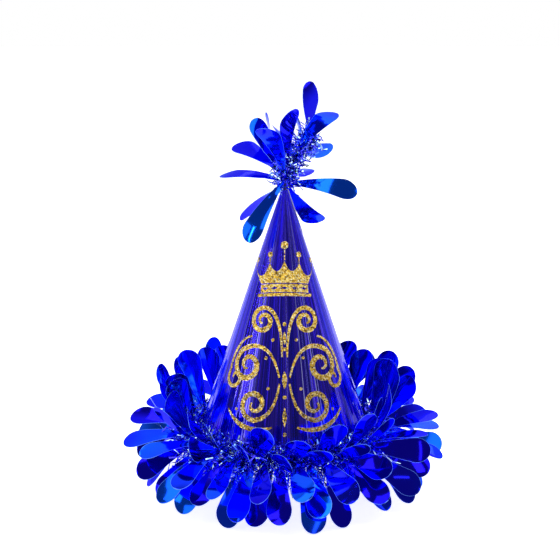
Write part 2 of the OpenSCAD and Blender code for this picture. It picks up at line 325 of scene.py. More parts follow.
@dataclass(frozen=True)
class FoilCard:
    """Card faced with blue metallised foil and rolled to a cone.

    Rolling leaves fine straight ridges from hem to tip, which draw the reflections out into thin
    streaks that meet at the tip. The foil's colour is painted darker in the troughs, painted shade,
    and lighter towards the crests, a painted sheen; on the crests of some ridges a pale, rougher
    streak is a painted highlight. It reads the card's own map: millimetres round the hem and
    millimetres down from the tip.
    """

    name: str = "foil-faced card"
    # Painted shade in the troughs, the foil's own colour, then a painted sheen towards the crests
    trough: str = "#0A0678"
    foil: str = "#1A10C8"
    painted_sheen: str = "#4A2CF0"
    # Painted highlight of the pale streaks on some crests
    streak_highlight: str = "#B4B8FF"
    edge: str = "#7C78FF"
    # Width at the hem and height of each kind of ridge: fine streaks, folds and broad folds
    ridges: tuple[tuple[float, float], ...] = ((1.1, 0.2), (6.0, 0.8), (19.0, 2.4))
    length_mm: float = 900.0
    roughness: float = 0.08
    crest_roughness: float = 0.3
    streak: float = 0.8
    # Share of the painted shade and sheen that follows the fine streaks; the rest follows the folds
    fine_share: float = 0.6
    # Heights between which a fine streak, and the broad fold under it, get the painted highlight
    highlight_heights: tuple[float, float] = (0.57, 0.64)
    raised: tuple[float, float] = (0.44, 0.58)

    def material(self) -> Any:
        """Build the foil's material."""
        material, tree = bare_material(self.name)
        card = add(tree, "UVMap", uv_map="card").outputs["UV"]
        waves = []
        under: dict[str, Any] = {}
        for width, height in self.ridges:
            stretched = add(tree, "Mapping", {
                "Vector": card, "Scale": (1 / width, 1 / self.length_mm, 1.0)}).outputs["Vector"]
            waves.append(add(tree, "TexNoise", {"Vector": stretched, "Scale": 1.0,
                                                "Detail": 2.0}).outputs["Fac"])
            under = {"Normal": add(tree, "Bump", {
                "Height": waves[-1], "Strength": self.streak, "Distance": height * MM,
                **under}).outputs["Normal"]}
        fine, folds, broad = waves
        folded = add(tree, "Math", {0: folds, 1: 1 - self.fine_share},
                     operation="MULTIPLY").outputs[0]
        ridge_shade_and_sheen = add(tree, "Math", {0: fine, 1: self.fine_share, 2: folded},
                   operation="MULTIPLY_ADD").outputs[0]
        # Painted shade in the troughs and painted sheen towards the crests
        dye_and_painted_light = add(tree, "ValToRGB", {"Fac": ridge_shade_and_sheen}, (
            (0.38, self.trough), (0.46, self.foil), (0.56, self.painted_sheen))).outputs["Color"]
        # Painted highlight streaks on some crests, where the foil is also rougher
        streaks, fields = (
            add(tree, "MapRange", {"Value": wave, "From Min": low,
                                   "From Max": high}).outputs["Result"]
            for wave, (low, high) in ((fine, self.highlight_heights), (broad, self.raised)))
        streak_highlight = add(tree, "Math", {0: streaks, 1: fields}, operation="MULTIPLY").outputs[0]
        colour = add(tree, "Mix", {0: streak_highlight, 6: dye_and_painted_light, 7: srgb(self.streak_highlight)},
                     data_type="RGBA").outputs[2]
        blunt = add(tree, "Math", {0: streak_highlight, 1: self.crest_roughness, 2: self.roughness},
                    operation="MULTIPLY_ADD").outputs[0]
        shader = add(tree, "BsdfPrincipled", {
            "Base Color": colour, "Roughness": blunt, "Metallic": 1.0,
            "Specular Tint": srgb(self.edge), "Coat Weight": 0.5, "Coat Roughness": 0.05,
            **under})
        add(tree, "OutputMaterial", {"Surface": shader.outputs[0]})
        return material


@dataclass(frozen=True)
class WhiteBoard:
    """Uncoated side of the card: white paperboard with faint fibres, matt to the eye."""

    name: str = "uncoated paperboard"
    light: str = "#E9E7E2"
    fibre: str = "#D3D0C9"
    fibre_mm: float = 1.2
    fibre_height_mm: float = 0.05

    def material(self) -> Any:
        """Build the board's material."""
        material, tree = bare_material(self.name)
        place = add(tree, "TexCoord").outputs["Object"]
        fibres = add(tree, "TexNoise", {"Vector": place, "Scale": per_mm(self.fibre_mm),
                                        "Detail": 3.0}).outputs["Fac"]
        colour = add(tree, "ValToRGB", {"Fac": fibres},
                     ((0.35, self.fibre), (0.6, self.light))).outputs["Color"]
        bump = add(tree, "Bump", {"Height": fibres, "Strength": 0.2,
                                  "Distance": self.fibre_height_mm * MM}).outputs["Normal"]
        shader = add(tree, "BsdfPrincipled", {"Base Color": colour, "Normal": bump,
                                              "Roughness": 0.75})
        add(tree, "OutputMaterial", {"Surface": shader.outputs[0]})
        return material


@dataclass(frozen=True)
class GoldGlitter:
    """Polyester glitter bonded to the foil: flat gold flakes that lie at all angles.

    Each flake is a small mirror with a tilt of its own, so neighbours flash pale or fall dark;
    each also gets a colour of its own from near black to near white, painted flashes and painted
    dark.
    Real flakes are about half this size, too fine to show at the photograph's distance.
    """

    name: str = "gold glitter"
    # Flake colours: painted dark, the gold, then painted flashes up to near white
    dark: str = "#3A2804"
    gold: str = "#CC9A1C"
    pale: str = "#FFD850"
    bright: str = "#FFF6C0"
    flake_mm: float = 0.75
    tilt: float = 1.3

    def material(self) -> Any:
        """Build the glitter's material."""
        material, tree = bare_material(self.name)
        place = add(tree, "TexCoord").outputs["Object"]
        flakes = add(tree, "TexVoronoi", {"Vector": place, "Scale": per_mm(self.flake_mm),
                                          "Randomness": 1.0}).outputs["Color"]
        split = add(tree, "SeparateColor", {"Color": flakes}).outputs["Red"]
        # Each flake's colour, from painted dark through gold to a painted flash
        colour = add(tree, "ValToRGB", {"Fac": split}, (
            (0.0, self.dark), (0.3, self.gold), (0.7, self.pale),
            (0.95, self.bright))).outputs["Color"]
        centred = add(tree, "VectorMath", {0: flakes, 1: (0.5, 0.5, 0.5)},
                      operation="SUBTRACT").outputs[0]
        tilted = add(tree, "VectorMath", {0: centred, "Scale": self.tilt},
                     operation="SCALE").outputs[0]
        flat = add(tree, "NewGeometry").outputs["Normal"]
        mixed = add(tree, "VectorMath", {0: flat, 1: tilted}, operation="ADD").outputs[0]
        normal = add(tree, "VectorMath", {0: mixed}, operation="NORMALIZE").outputs[0]
        shader = add(tree, "BsdfPrincipled", {"Base Color": colour, "Normal": normal,
                                              "Metallic": 0.45, "Roughness": 0.25})
        add(tree, "OutputMaterial", {"Surface": shader.outputs[0]})
        return material


@dataclass(frozen=True)
class HotMelt:
    """EVA hot-melt glue, cooled in a bead: cloudy, waxy and a little glossy."""

    name: str = "hot-melt glue"
    clear: str = "#C9D2EE"
    cloudy: str = "#E7EAF2"
    cloud_mm: float = 1.6
    lump_mm: float = 0.3
    depth_mm: float = 1.0

    def material(self) -> Any:
        """Build the glue's material."""
        material, tree = bare_material(self.name)
        place = add(tree, "TexCoord").outputs["Object"]
        cloud = add(tree, "TexNoise", {"Vector": place, "Scale": per_mm(self.cloud_mm),
                                       "Detail": 2.0}).outputs["Fac"]
        colour = add(tree, "ValToRGB", {"Fac": cloud},
                     ((0.3, self.clear), (0.7, self.cloudy))).outputs["Color"]
        bump = add(tree, "Bump", {"Height": cloud, "Strength": 0.3,
                                  "Distance": self.lump_mm * MM}).outputs["Normal"]
        shader = add(tree, "BsdfPrincipled", {
            "Base Color": colour, "Normal": bump, "Roughness": 0.3, "Subsurface Weight": 0.4,
            "Subsurface Scale": self.depth_mm * MM})
        add(tree, "OutputMaterial", {"Surface": shader.outputs[0]})
        return material


@dataclass(frozen=True)
class TwistedThread:
    """Dyed cotton thread laid up with a thin wire: two plies that wind round the core.

    The plies show as slanting grooves, painted darker in the grooves as painted shade. They are
    worked out from the core's own arc: the angle along the arc and the angle round the thread.
    """

    name: str = "twisted thread"
    # Painted shade in the grooves between the plies
    painted_groove_shade: str = "#05033C"
    crown: str = "#17109A"
    lay_mm: float = 2.6
    plies: int = 2
    groove_mm: float = 0.3

    def material(self, centre: tuple[float, float, float], arc_r: float, upright: bool) -> Any:
        """Build the thread's material for one core.

        Args:
            centre: Middle of the core's arc in millimetres.
            arc_r: Radius of the arc in millimetres.
            upright: Whether the arc stands in the XZ plane; if not it lies flat.

        Returns:
            The material.
        """
        material, tree = bare_material(self.name)
        place = add(tree, "TexCoord").outputs["Object"]
        centred = add(tree, "VectorMath", {0: place, 1: tuple(c * MM for c in centre)},
                      operation="SUBTRACT").outputs[0]
        axes = add(tree, "SeparateXYZ", {0: centred}).outputs
        first, second, third = (axes[letter] for letter in ("XZY" if upright else "XYZ"))
        along = add(tree, "Math", {0: second, 1: first}, operation="ARCTAN2").outputs[0]
        square = add(tree, "Math", {0: second, 1: second}, operation="MULTIPLY").outputs[0]
        squares = add(tree, "Math", {0: first, 1: first, 2: square},
                      operation="MULTIPLY_ADD").outputs[0]
        reach = add(tree, "Math", {0: squares}, operation="SQRT").outputs[0]
        beside = add(tree, "Math", {0: reach, 1: arc_r * MM}, operation="SUBTRACT").outputs[0]
        around = add(tree, "Math", {0: third, 1: beside}, operation="ARCTAN2").outputs[0]
        wound = add(tree, "Math", {0: around, 1: float(self.plies)},
                    operation="MULTIPLY").outputs[0]
        turns = round(2 * math.pi * arc_r / self.lay_mm)
        phase = add(tree, "Math", {0: along, 1: float(turns), 2: wound},
                    operation="MULTIPLY_ADD").outputs[0]
        wave = add(tree, "Math", {0: phase}, operation="SINE").outputs[0]
        ply = add(tree, "Math", {0: wave}, operation="ABSOLUTE").outputs[0]
        # Painted shade: dark in the grooves, the thread's colour on the crowns
        colour = add(tree, "ValToRGB", {"Fac": ply},
                     ((0.0, self.painted_groove_shade), (0.8, self.crown))).outputs["Color"]
        bump = add(tree, "Bump", {"Height": ply, "Strength": 0.8,
                                  "Distance": self.groove_mm * MM}).outputs["Normal"]
        shader = add(tree, "BsdfPrincipled", {"Base Color": colour, "Normal": bump,
                                              "Roughness": 0.6, "Sheen Weight": 0.3})
        add(tree, "OutputMaterial", {"Surface": shader.outputs[0]})
        return material


@dataclass
class HatSizes:
    """Driving sizes of the hat in millimetres and degrees, as in the part's source."""

    hem_r: float = 59.0
    cone_h: float = 174.0
    card_t: float = 0.45
    lap_w: float = 12.0
    slit_up: float = 11.0
    slit_t: float = 1.0
    core_r: float = 1.2
    glue_gap: float = 0.6
    core_up: float = 6.0
    leaf_l: float = 44.0
    leaf_w: float = 16.0
    neck_w: float = 2.0
    curl_r: float = 85.0
    neck_gap: float = 0.3
    arc_r: float = 42.0
    arc_deg: float = 58.0
    hem_z: float = field(init=False)
    tip_z: float = field(init=False)

    def __post_init__(self) -> None:
        """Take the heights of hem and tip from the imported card."""
        low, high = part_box("cone_card")
        self.hem_z = low[2] / MM
        self.tip_z = high[2] / MM

    @property
    def slope(self) -> float:
        """Half of the cone's angle in radians."""
        return math.atan(self.hem_r / self.cone_h)

    @property
    def core_z(self) -> float:
        """Height of the hem core over the floor."""
        return self.hem_z + self.core_up

    @property
    def ring_r(self) -> float:
        """Radius of the ring that the hem core lies on."""
        off = (self.core_r + self.glue_gap) / math.cos(self.slope)
        return float(self.wall_r(self.core_up)) + off

    def wall_r(self, up: Any) -> Any:
        """Radius of the card's outer face at a height above the hem."""
        return (self.cone_h - up) * math.tan(self.slope)


@dataclass
class RolledCard:
    """The cone: one sheet of foil card that laps over itself at the back, with two slits."""

    sizes: HatSizes
    columns: int = 360
    # Heights of the rows below the slits, and the first height and the number of those above
    foot_rows: tuple[float, ...] = (0.0, 5.0)
    upper_from: float = 16.0
    upper_rows: int = 34
    slit_deg: float = 4.0
    slit_sides: tuple[int, ...] = (90, 270)
    lap_columns: int = 8
    lap_rise_deg: float = 5.0
    lap_gap: float = 0.03
    # Sine of the widest angle that the lap takes up near the tip
    lap_limit: float = 0.985
    ridge_mm: float = 0.05
    ridge_fade: float = 20.0
    ridges: tuple[int, ...] = (7, 11, 17, 26, 41, 59)
    seed: int = 5

    def rows(self) -> np.ndarray:
        """Heights above the hem, from hem to tip, with one row at each edge of the slits."""
        sizes = self.sizes
        upper = np.linspace(self.upper_from, sizes.tip_z - sizes.hem_z, self.upper_rows)
        slit = sizes.slit_up + sizes.slit_t * np.array([-0.5, 0.5])
        return np.concatenate([self.foot_rows, slit, upper])

    def build(self, foil: Any, board: Any) -> Any:
        """Build the card as an outer and an inner face joined along every free edge.

        The sheet starts under the lap at the middle of the back, runs once round, climbs by its
        own thickness and ends on top of its start. A point's radius is that of the straight cone
        plus that climb, plus ridges that run from hem to tip: a sum of sines of the angle. The
        card's map unrolls it: the angle times the hem's radius, and the slant down from the tip.

        Args:
            foil: Finish of the outer face.
            board: Finish of the inner face.

        Returns:
            The card's object.
        """
        sizes = self.sizes
        up = self.rows()[:, None]
        wall = sizes.wall_r(up)
        lap = np.degrees(np.arcsin(np.clip(sizes.lap_w / wall, 0, self.lap_limit)))
        whole = np.broadcast_to(np.linspace(0, 360, self.columns + 1)[None, :],
                                (len(up), self.columns + 1))
        over = 360 + lap * np.linspace(0, 1, self.lap_columns + 1)[None, 1:]
        angle = np.concatenate([whole, over], axis=1)
        climb = smooth_step((angle - 360 + self.lap_rise_deg) / self.lap_rise_deg)
        rng = np.random.default_rng(self.seed)
        phases = rng.uniform(0, 2 * math.pi, len(self.ridges))
        ridge = sum(np.sin(np.radians(angle) * n + p) for n, p in zip(self.ridges, phases))
        ridge = ridge * self.ridge_mm * wall / sizes.hem_r * smooth_step(up / self.ridge_fade)
        outer_r = wall + climb * (sizes.card_t + self.lap_gap) + ridge
        inner_r = outer_r - sizes.card_t / math.cos(sizes.slope)
        turned = np.radians(angle)
        height = np.broadcast_to(sizes.hem_z + up, angle.shape)
        faces = [np.stack([r * np.sin(turned), r * np.cos(turned), height], axis=-1)
                 for r in (outer_r, inner_r)]
        rows, columns = angle.shape
        kept = np.ones((rows - 1, columns - 1), dtype=bool)
        for side in self.slit_sides:
            start = round((side - self.slit_deg / 2) * self.columns / 360)
            end = start + round(self.slit_deg * self.columns / 360)
            kept[len(self.foot_rows), start:end] = False
        quads, wall_quads = self.sheet_quads(kept)
        points = np.concatenate([f.reshape(-1, 3) for f in faces])
        inner = quads[:, ::-1] + rows * columns
        card = make_piece("rolled_card", points, np.concatenate([quads, inner, wall_quads]), foil,
                          ["cone_card"])
        mesh = card.data
        mesh.materials.append(board)
        finish = np.zeros(len(mesh.polygons), dtype=np.int32)
        finish[len(quads) :] = 1
        mesh.polygons.foreach_set("material_index", finish)
        slant = (sizes.cone_h - up) / math.cos(sizes.slope)
        flat = np.stack([np.radians(angle) * sizes.hem_r,
                         np.broadcast_to(slant, angle.shape)], axis=-1).reshape(-1, 2)
        flat = np.concatenate([flat, flat])
        corners = np.zeros(len(mesh.loops), dtype=np.int32)
        mesh.loops.foreach_get("vertex_index", corners)
        layer = mesh.uv_layers.new(name="card")
        layer.data.foreach_set("uv", flat[corners].astype(np.float32).ravel())
        return card

    @staticmethod
    def sheet_quads(kept: np.ndarray) -> tuple[np.ndarray, np.ndarray]:
        """Quads of the outer face, and of the walls along every edge where the sheet stops.

        A cell has a wall on a side where its neighbour isn't kept, and the wall joins the outer
        edge to the same edge of the inner face.

        Args:
            kept: Cells of the grid that are card, rows by columns.

        Returns:
            The outer face's quads, facing outwards, and the walls' quads.
        """
        rows, columns = kept.shape[0] + 1, kept.shape[1] + 1
        row, column = np.nonzero(kept)
        low_left = row * columns + column
        outer = np.stack([low_left, low_left + columns, low_left + columns + 1, low_left + 1], -1)
        framed = np.pad(kept, 1)
        under = rows * columns
        walls = []
        for step_row, step_column, first, second in (
                (-1, 0, low_left + 1, low_left), (1, 0, low_left + columns, low_left + columns + 1),
                (0, -1, low_left, low_left + columns),
                (0, 1, low_left + columns + 1, low_left + 1)):
            bare = ~framed[row + 1 + step_row, column + 1 + step_column]
            start, end = first[bare], second[bare]
            walls.append(np.stack([end, start, start + under, end + under], axis=-1))
        return outer, np.concatenate(walls)


@dataclass
class FilmLeaf:
    """The garland's leaf: a teardrop of thin film that curls along its length.

    The grid runs from neck to round end and from flank to flank. Its outline is a straight flank
    that meets the end's circle as a tangent.
    """

    sizes: HatSizes
    film_t: float = 0.16
    flank_rows: int = 10
    end_rows: int = 8
    # Shares of the half width; the outermost strips are the rim that the cutter left
    across: tuple[float, ...] = (-1.0, -0.95, -0.66, -0.33, 0.0, 0.33, 0.66, 0.95, 1.0)
    end_deg: float = 6.0
    # Curvature of the trough across the leaf, per millimetre, and how much it differs
    trough: tuple[float, float] = (0.006, 0.008)
    # Slope of the fold down the middle at the neck, and the length over which it fades
    fold: tuple[float, float] = (0.30, 9.0)
    # Height of the kink, its place along the leaf, how much that differs, and its width
    kink: tuple[float, float, float, float] = (0.5, 11.0, 4.0, 2.2)
    # Height of the ripple, its waves along the leaf and its lag across it
    ripple: tuple[float, float, float] = (0.25, 1.6, 0.25)
    end_twist_deg: float = 14.0

    def stations(self, length: np.ndarray) -> tuple[np.ndarray, np.ndarray]:
        """Places along the leaf and the half widths there.

        Args:
            length: Length of each leaf.

        Returns:
            Two arrays of leaves by stations.
        """
        end_r = self.sizes.leaf_w / 2
        neck = self.sizes.neck_w / 2
        centre = length - end_r
        flare = np.arcsin(end_r / np.hypot(centre, neck)) - np.arctan(neck / centre)
        meet = centre - end_r * np.sin(flare)
        flank = meet[:, None] * np.linspace(0, 1, self.flank_rows)[None, :]
        first = math.pi / 2 + flare
        sweep = first[:, None] + (math.radians(self.end_deg) - first)[:, None] * np.linspace(
            0, 1, self.end_rows + 1)[None, 1:]
        place = np.concatenate([flank, centre[:, None] + end_r * np.cos(sweep)], axis=1)
        flank_half = neck + flank * np.tan(flare)[:, None]
        return place, np.concatenate([flank_half, end_r * np.sin(sweep)], axis=1)

    def shapes(self, length: np.ndarray, side: np.ndarray, rng: np.random.Generator) -> np.ndarray:
        """Closed film shells in the leaf's own frame, neck at the origin, along +X.

        The film's height is that of a circle of the curl's radius, plus a shallow trough across,
        a fold down the middle that fades from the neck, a kink across it and a slow ripple.
        Each end of the leaf also turns a little about its middle line.

        Args:
            length: Length of each leaf.
            side: 1 where it curls down, -1 where it curls up.
            rng: Source of the small differences between leaves.

        Returns:
            Points of leaves by stations by ring points by three.
        """
        count = len(length)
        x, half = self.stations(length)
        draw = [rng.uniform(-1, 1, count)[:, None, None] for _ in range(6)]
        v = np.array(self.across)[None, None, :]
        along = x[:, :, None]
        y = v * half[:, :, None]
        share = along / length[:, None, None]
        mean, swing = self.trough
        trough = (mean + swing * draw[0]) * y * y * side[:, None, None]
        slope, fade = self.fold
        fold = slope * np.abs(y) * np.exp(-along / fade)
        height, spot, stray, width = self.kink
        kink = height * draw[1] * np.exp(-((along - spot - stray * draw[2]) / width) ** 2)
        height, waves, lag = self.ripple
        phase = 2 * math.pi * (share * waves + draw[4] + lag * v)
        ripple = height * draw[3] * np.sin(phase) * share
        twist = np.radians(self.end_twist_deg * draw[5]) * share**2
        curl = np.sqrt(self.sizes.curl_r**2 - along**2) - self.sizes.curl_r
        z = side[:, None, None] * curl + trough - fold + kink + ripple + y * np.sin(twist)
        y = y * np.cos(twist)
        along = np.broadcast_to(along, y.shape)
        rise = self.film_t / 2
        top = np.stack([along, y, z + rise], axis=-1)
        bottom = np.stack([along, y, z - rise], axis=-1)
        return np.concatenate([top, bottom[:, :, ::-1]], axis=2)

    def quads(self) -> np.ndarray:
        """Quads of one leaf's shell."""
        return tube_quads(self.flank_rows + self.end_rows, 2 * len(self.across))[:, ::-1]

    def rim(self) -> np.ndarray:
        """Mark of one leaf's points: 1 along the cut outline and 0 within it."""
        edge = (np.abs(self.across) == 1).astype(float)
        mark = np.tile(np.concatenate([edge, edge]), (self.flank_rows + self.end_rows, 1))
        mark[-1] = 1
        return mark.ravel()


def wobble(number: np.ndarray, step: float) -> np.ndarray:
    """A value from -1 to 1 that wanders without repeating as the number counts up."""
    return 2 * np.modf(number * step)[0] - 1


@dataclass
class HemGarland:
    """Leaves round the hem: sprays of five that fan from under the core to nearly upright."""

    sizes: HatSizes
    leaf: FilmLeaf
    sprays: int = 22
    fans: tuple[float, ...] = (-25, -6, 18, 45, 72)
    row_order: tuple[int, ...] = (0, 3, 1, 4, 2)
    front_drops: tuple[float, ...] = (0, 12, 20, 36, 50)
    end_drop: float = 15.0
    carry_every: int = 3
    carry_lift: float = 8.0
    side_twists: tuple[float, float] = (13.5, 45.0)
    fan_swing: float = 5.0
    lean_swing: float = 9.0
    twist_swing: float = 42.0
    length_swing: float = 0.08
    # Steps of the wobbles, as in the part's source
    fan_step: float = 0.51
    lean_step: float = 0.564
    twist_step: float = 0.606
    length_step: float = 0.268
    curl_step: float = 0.401
    floor_gap: float = 0.02
    seed: int = 11

    def build(self, film: Any) -> list[Any]:
        """Build the sprays, each leaf laid as in the part's source.

        Args:
            film: Finish of the leaves.

        Returns:
            One object for each spray.
        """
        sizes = self.sizes
        rows = len(self.fans)
        count = self.sprays * rows
        number = np.arange(count)
        row = np.array(self.row_order)[number % rows]
        low = row == 0
        free = np.where(low & (number // rows % self.carry_every == 0), 0.0, 1.0)
        angle = number * 360.0 / count
        turned = np.radians(angle)
        swing = self.fan_swing * wobble(number, self.fan_step)
        hung = self.fans[0] - self.end_drop * np.sin(turned) ** 2
        laid = (np.array(self.fans)[row]
                - np.array(self.front_drops)[row] * np.maximum(0, -np.sin(turned)))
        fan = np.where(low, hung + free * self.carry_lift, laid) + free * swing
        lean = free * self.lean_swing * wobble(number, self.lean_step)
        broadside = np.cos(turned) * np.abs(np.cos(turned))
        twist = free * (self.twist_swing * wobble(number, self.twist_step)
                        + np.where(low, *self.side_twists) * broadside)
        longer = free * self.length_swing * wobble(number, self.length_step)
        length = sizes.leaf_l * (1 + longer)
        under = low | (wobble(number, self.curl_step) > 0)
        side = np.where(under, Curl.UNDER.value, Curl.OVER.value)
        rng = np.random.default_rng(self.seed)
        shapes = self.leaf.shapes(length, side, rng)
        shapes = np.einsum("nij,nabj->nabi", turn(0, twist), shapes)
        shapes[..., 0] += sizes.core_r + sizes.neck_gap
        carried = turn(1, -fan) @ turn(2, lean)
        shapes = np.einsum("nij,nabj->nabi", carried, shapes)
        shapes += np.array([sizes.ring_r, 0, sizes.core_z])
        shapes = np.einsum("nij,nabj->nabi", turn(2, angle), shapes)
        shapes[..., 2] = np.maximum(shapes[..., 2], self.floor_gap)
        tints = rng.uniform(0, 1, count)
        return [self.spray(j, shapes[j * rows : (j + 1) * rows], tints[j * rows : (j + 1) * rows],
                           film) for j in range(self.sprays)]

    def spray(self, number: int, shapes: np.ndarray, tints: np.ndarray, film: Any) -> Any:
        """Make one spray's object from its leaves' shells."""
        name = f"{number + 1:02d}"
        return leaves_piece(f"hem_spray_{name}", shapes, tints, self.leaf, film,
                            [f"brim_leaves_{name}"])


def leaves_piece(name: str, shapes: np.ndarray, tints: np.ndarray, leaf: FilmLeaf, film: Any,
                 nodes: list[str]) -> Any:
    """Make one object from the shells of a few leaves.

    Args:
        name: Name of the piece.
        shapes: Points of leaves by stations by ring points by three.
        tints: Place of each leaf's dye between thick and thin.
        leaf: Leaf that the shells belong to.
        film: Finish of the leaves.
        nodes: CAD nodes that the piece replaces.

    Returns:
        The new object.
    """
    size = shapes.shape[1] * shapes.shape[2]
    quads = leaf.quads()[None] + (np.arange(len(shapes)) * size)[:, None, None]
    marks = {"tint": np.repeat(tints, size), "rim": np.tile(leaf.rim(), len(shapes))}
    return make_piece(name, shapes.reshape(-1, 3), quads.reshape(-1, 4), film, nodes,
                      marks)


@dataclass
class Tuft:
    """Leaves of the same film on the core that bends over at the tip."""

    sizes: HatSizes
    leaf: FilmLeaf
    seed: int = 23
    # Place along the core, compass angle, rise and twist in degrees, and the curl's side
    layout: tuple[tuple[float, float, float, float, Curl], ...] = (
        (0.95, 100, 30, 40, Curl.OVER), (0.65, -45, 50, -30, Curl.UNDER),
        (0.60, 70, 5, -40, Curl.UNDER), (0.10, -15, 5, 40, Curl.UNDER),
        (0.08, 40, -55, -30, Curl.OVER), (0.12, -140, -40, -20, Curl.UNDER),
        (0.04, 135, -20, 0, Curl.UNDER), (0.13, 160, 15, -20, Curl.UNDER),
        (0.22, 145, 35, -20, Curl.UNDER), (0.25, -115, 60, 0, Curl.UNDER),
        (0.25, 130, 30, 10, Curl.OVER), (0.35, 130, 35, 60, Curl.OVER),
        (0.35, -105, 70, 50, Curl.UNDER), (0.40, 90, 35, 40, Curl.UNDER),
        (0.85, 110, 5, 80, Curl.OVER), (0.25, 75, 5, -10, Curl.UNDER))

    def stem(self, share: np.ndarray) -> tuple[np.ndarray, np.ndarray]:
        """Places on the tuft's core and the way it runs there.

        Args:
            share: Shares of the core's arc.

        Returns:
            Two arrays of points and unit directions.
        """
        sizes = self.sizes
        bend = np.radians(sizes.arc_deg * share)
        flat = np.zeros_like(bend)
        place = np.stack([sizes.arc_r * (1 - np.cos(bend)), flat,
                          sizes.tip_z + sizes.arc_r * np.sin(bend)], axis=-1)
        return place, np.stack([np.sin(bend), flat, np.cos(bend)], axis=-1)

    def build(self, film: Any) -> list[Any]:
        """Build the tuft's leaves, each laid as in the part's source."""
        sizes = self.sizes
        share, compass, rise, twist = np.array([row[:4] for row in self.layout]).T
        side = np.array([row[4].value for row in self.layout])
        rng = np.random.default_rng(self.seed)
        shapes = self.leaf.shapes(np.full(len(share), sizes.leaf_l), side, rng)
        tints = rng.uniform(0, 1, len(share))
        carried = turn(2, compass) @ turn(1, -rise) @ turn(0, twist)
        shapes = np.einsum("nij,nabj->nabi", carried, shapes)
        place, way = self.stem(share)
        aim = (turn(2, compass) @ turn(1, -rise))[:, :, 0]
        off = aim - np.sum(aim * way, axis=1, keepdims=True) * way
        off *= (sizes.core_r + sizes.neck_gap) / np.linalg.norm(off, axis=1, keepdims=True)
        shapes += (place + off)[:, None, None, :]
        return [leaves_piece(f"tuft_leaf_{k + 1:02d}", shapes[k : k + 1], tints[k : k + 1],
                             self.leaf, film, [f"tip_leaf_{k + 1:02d}"])
                for k in range(len(share))]


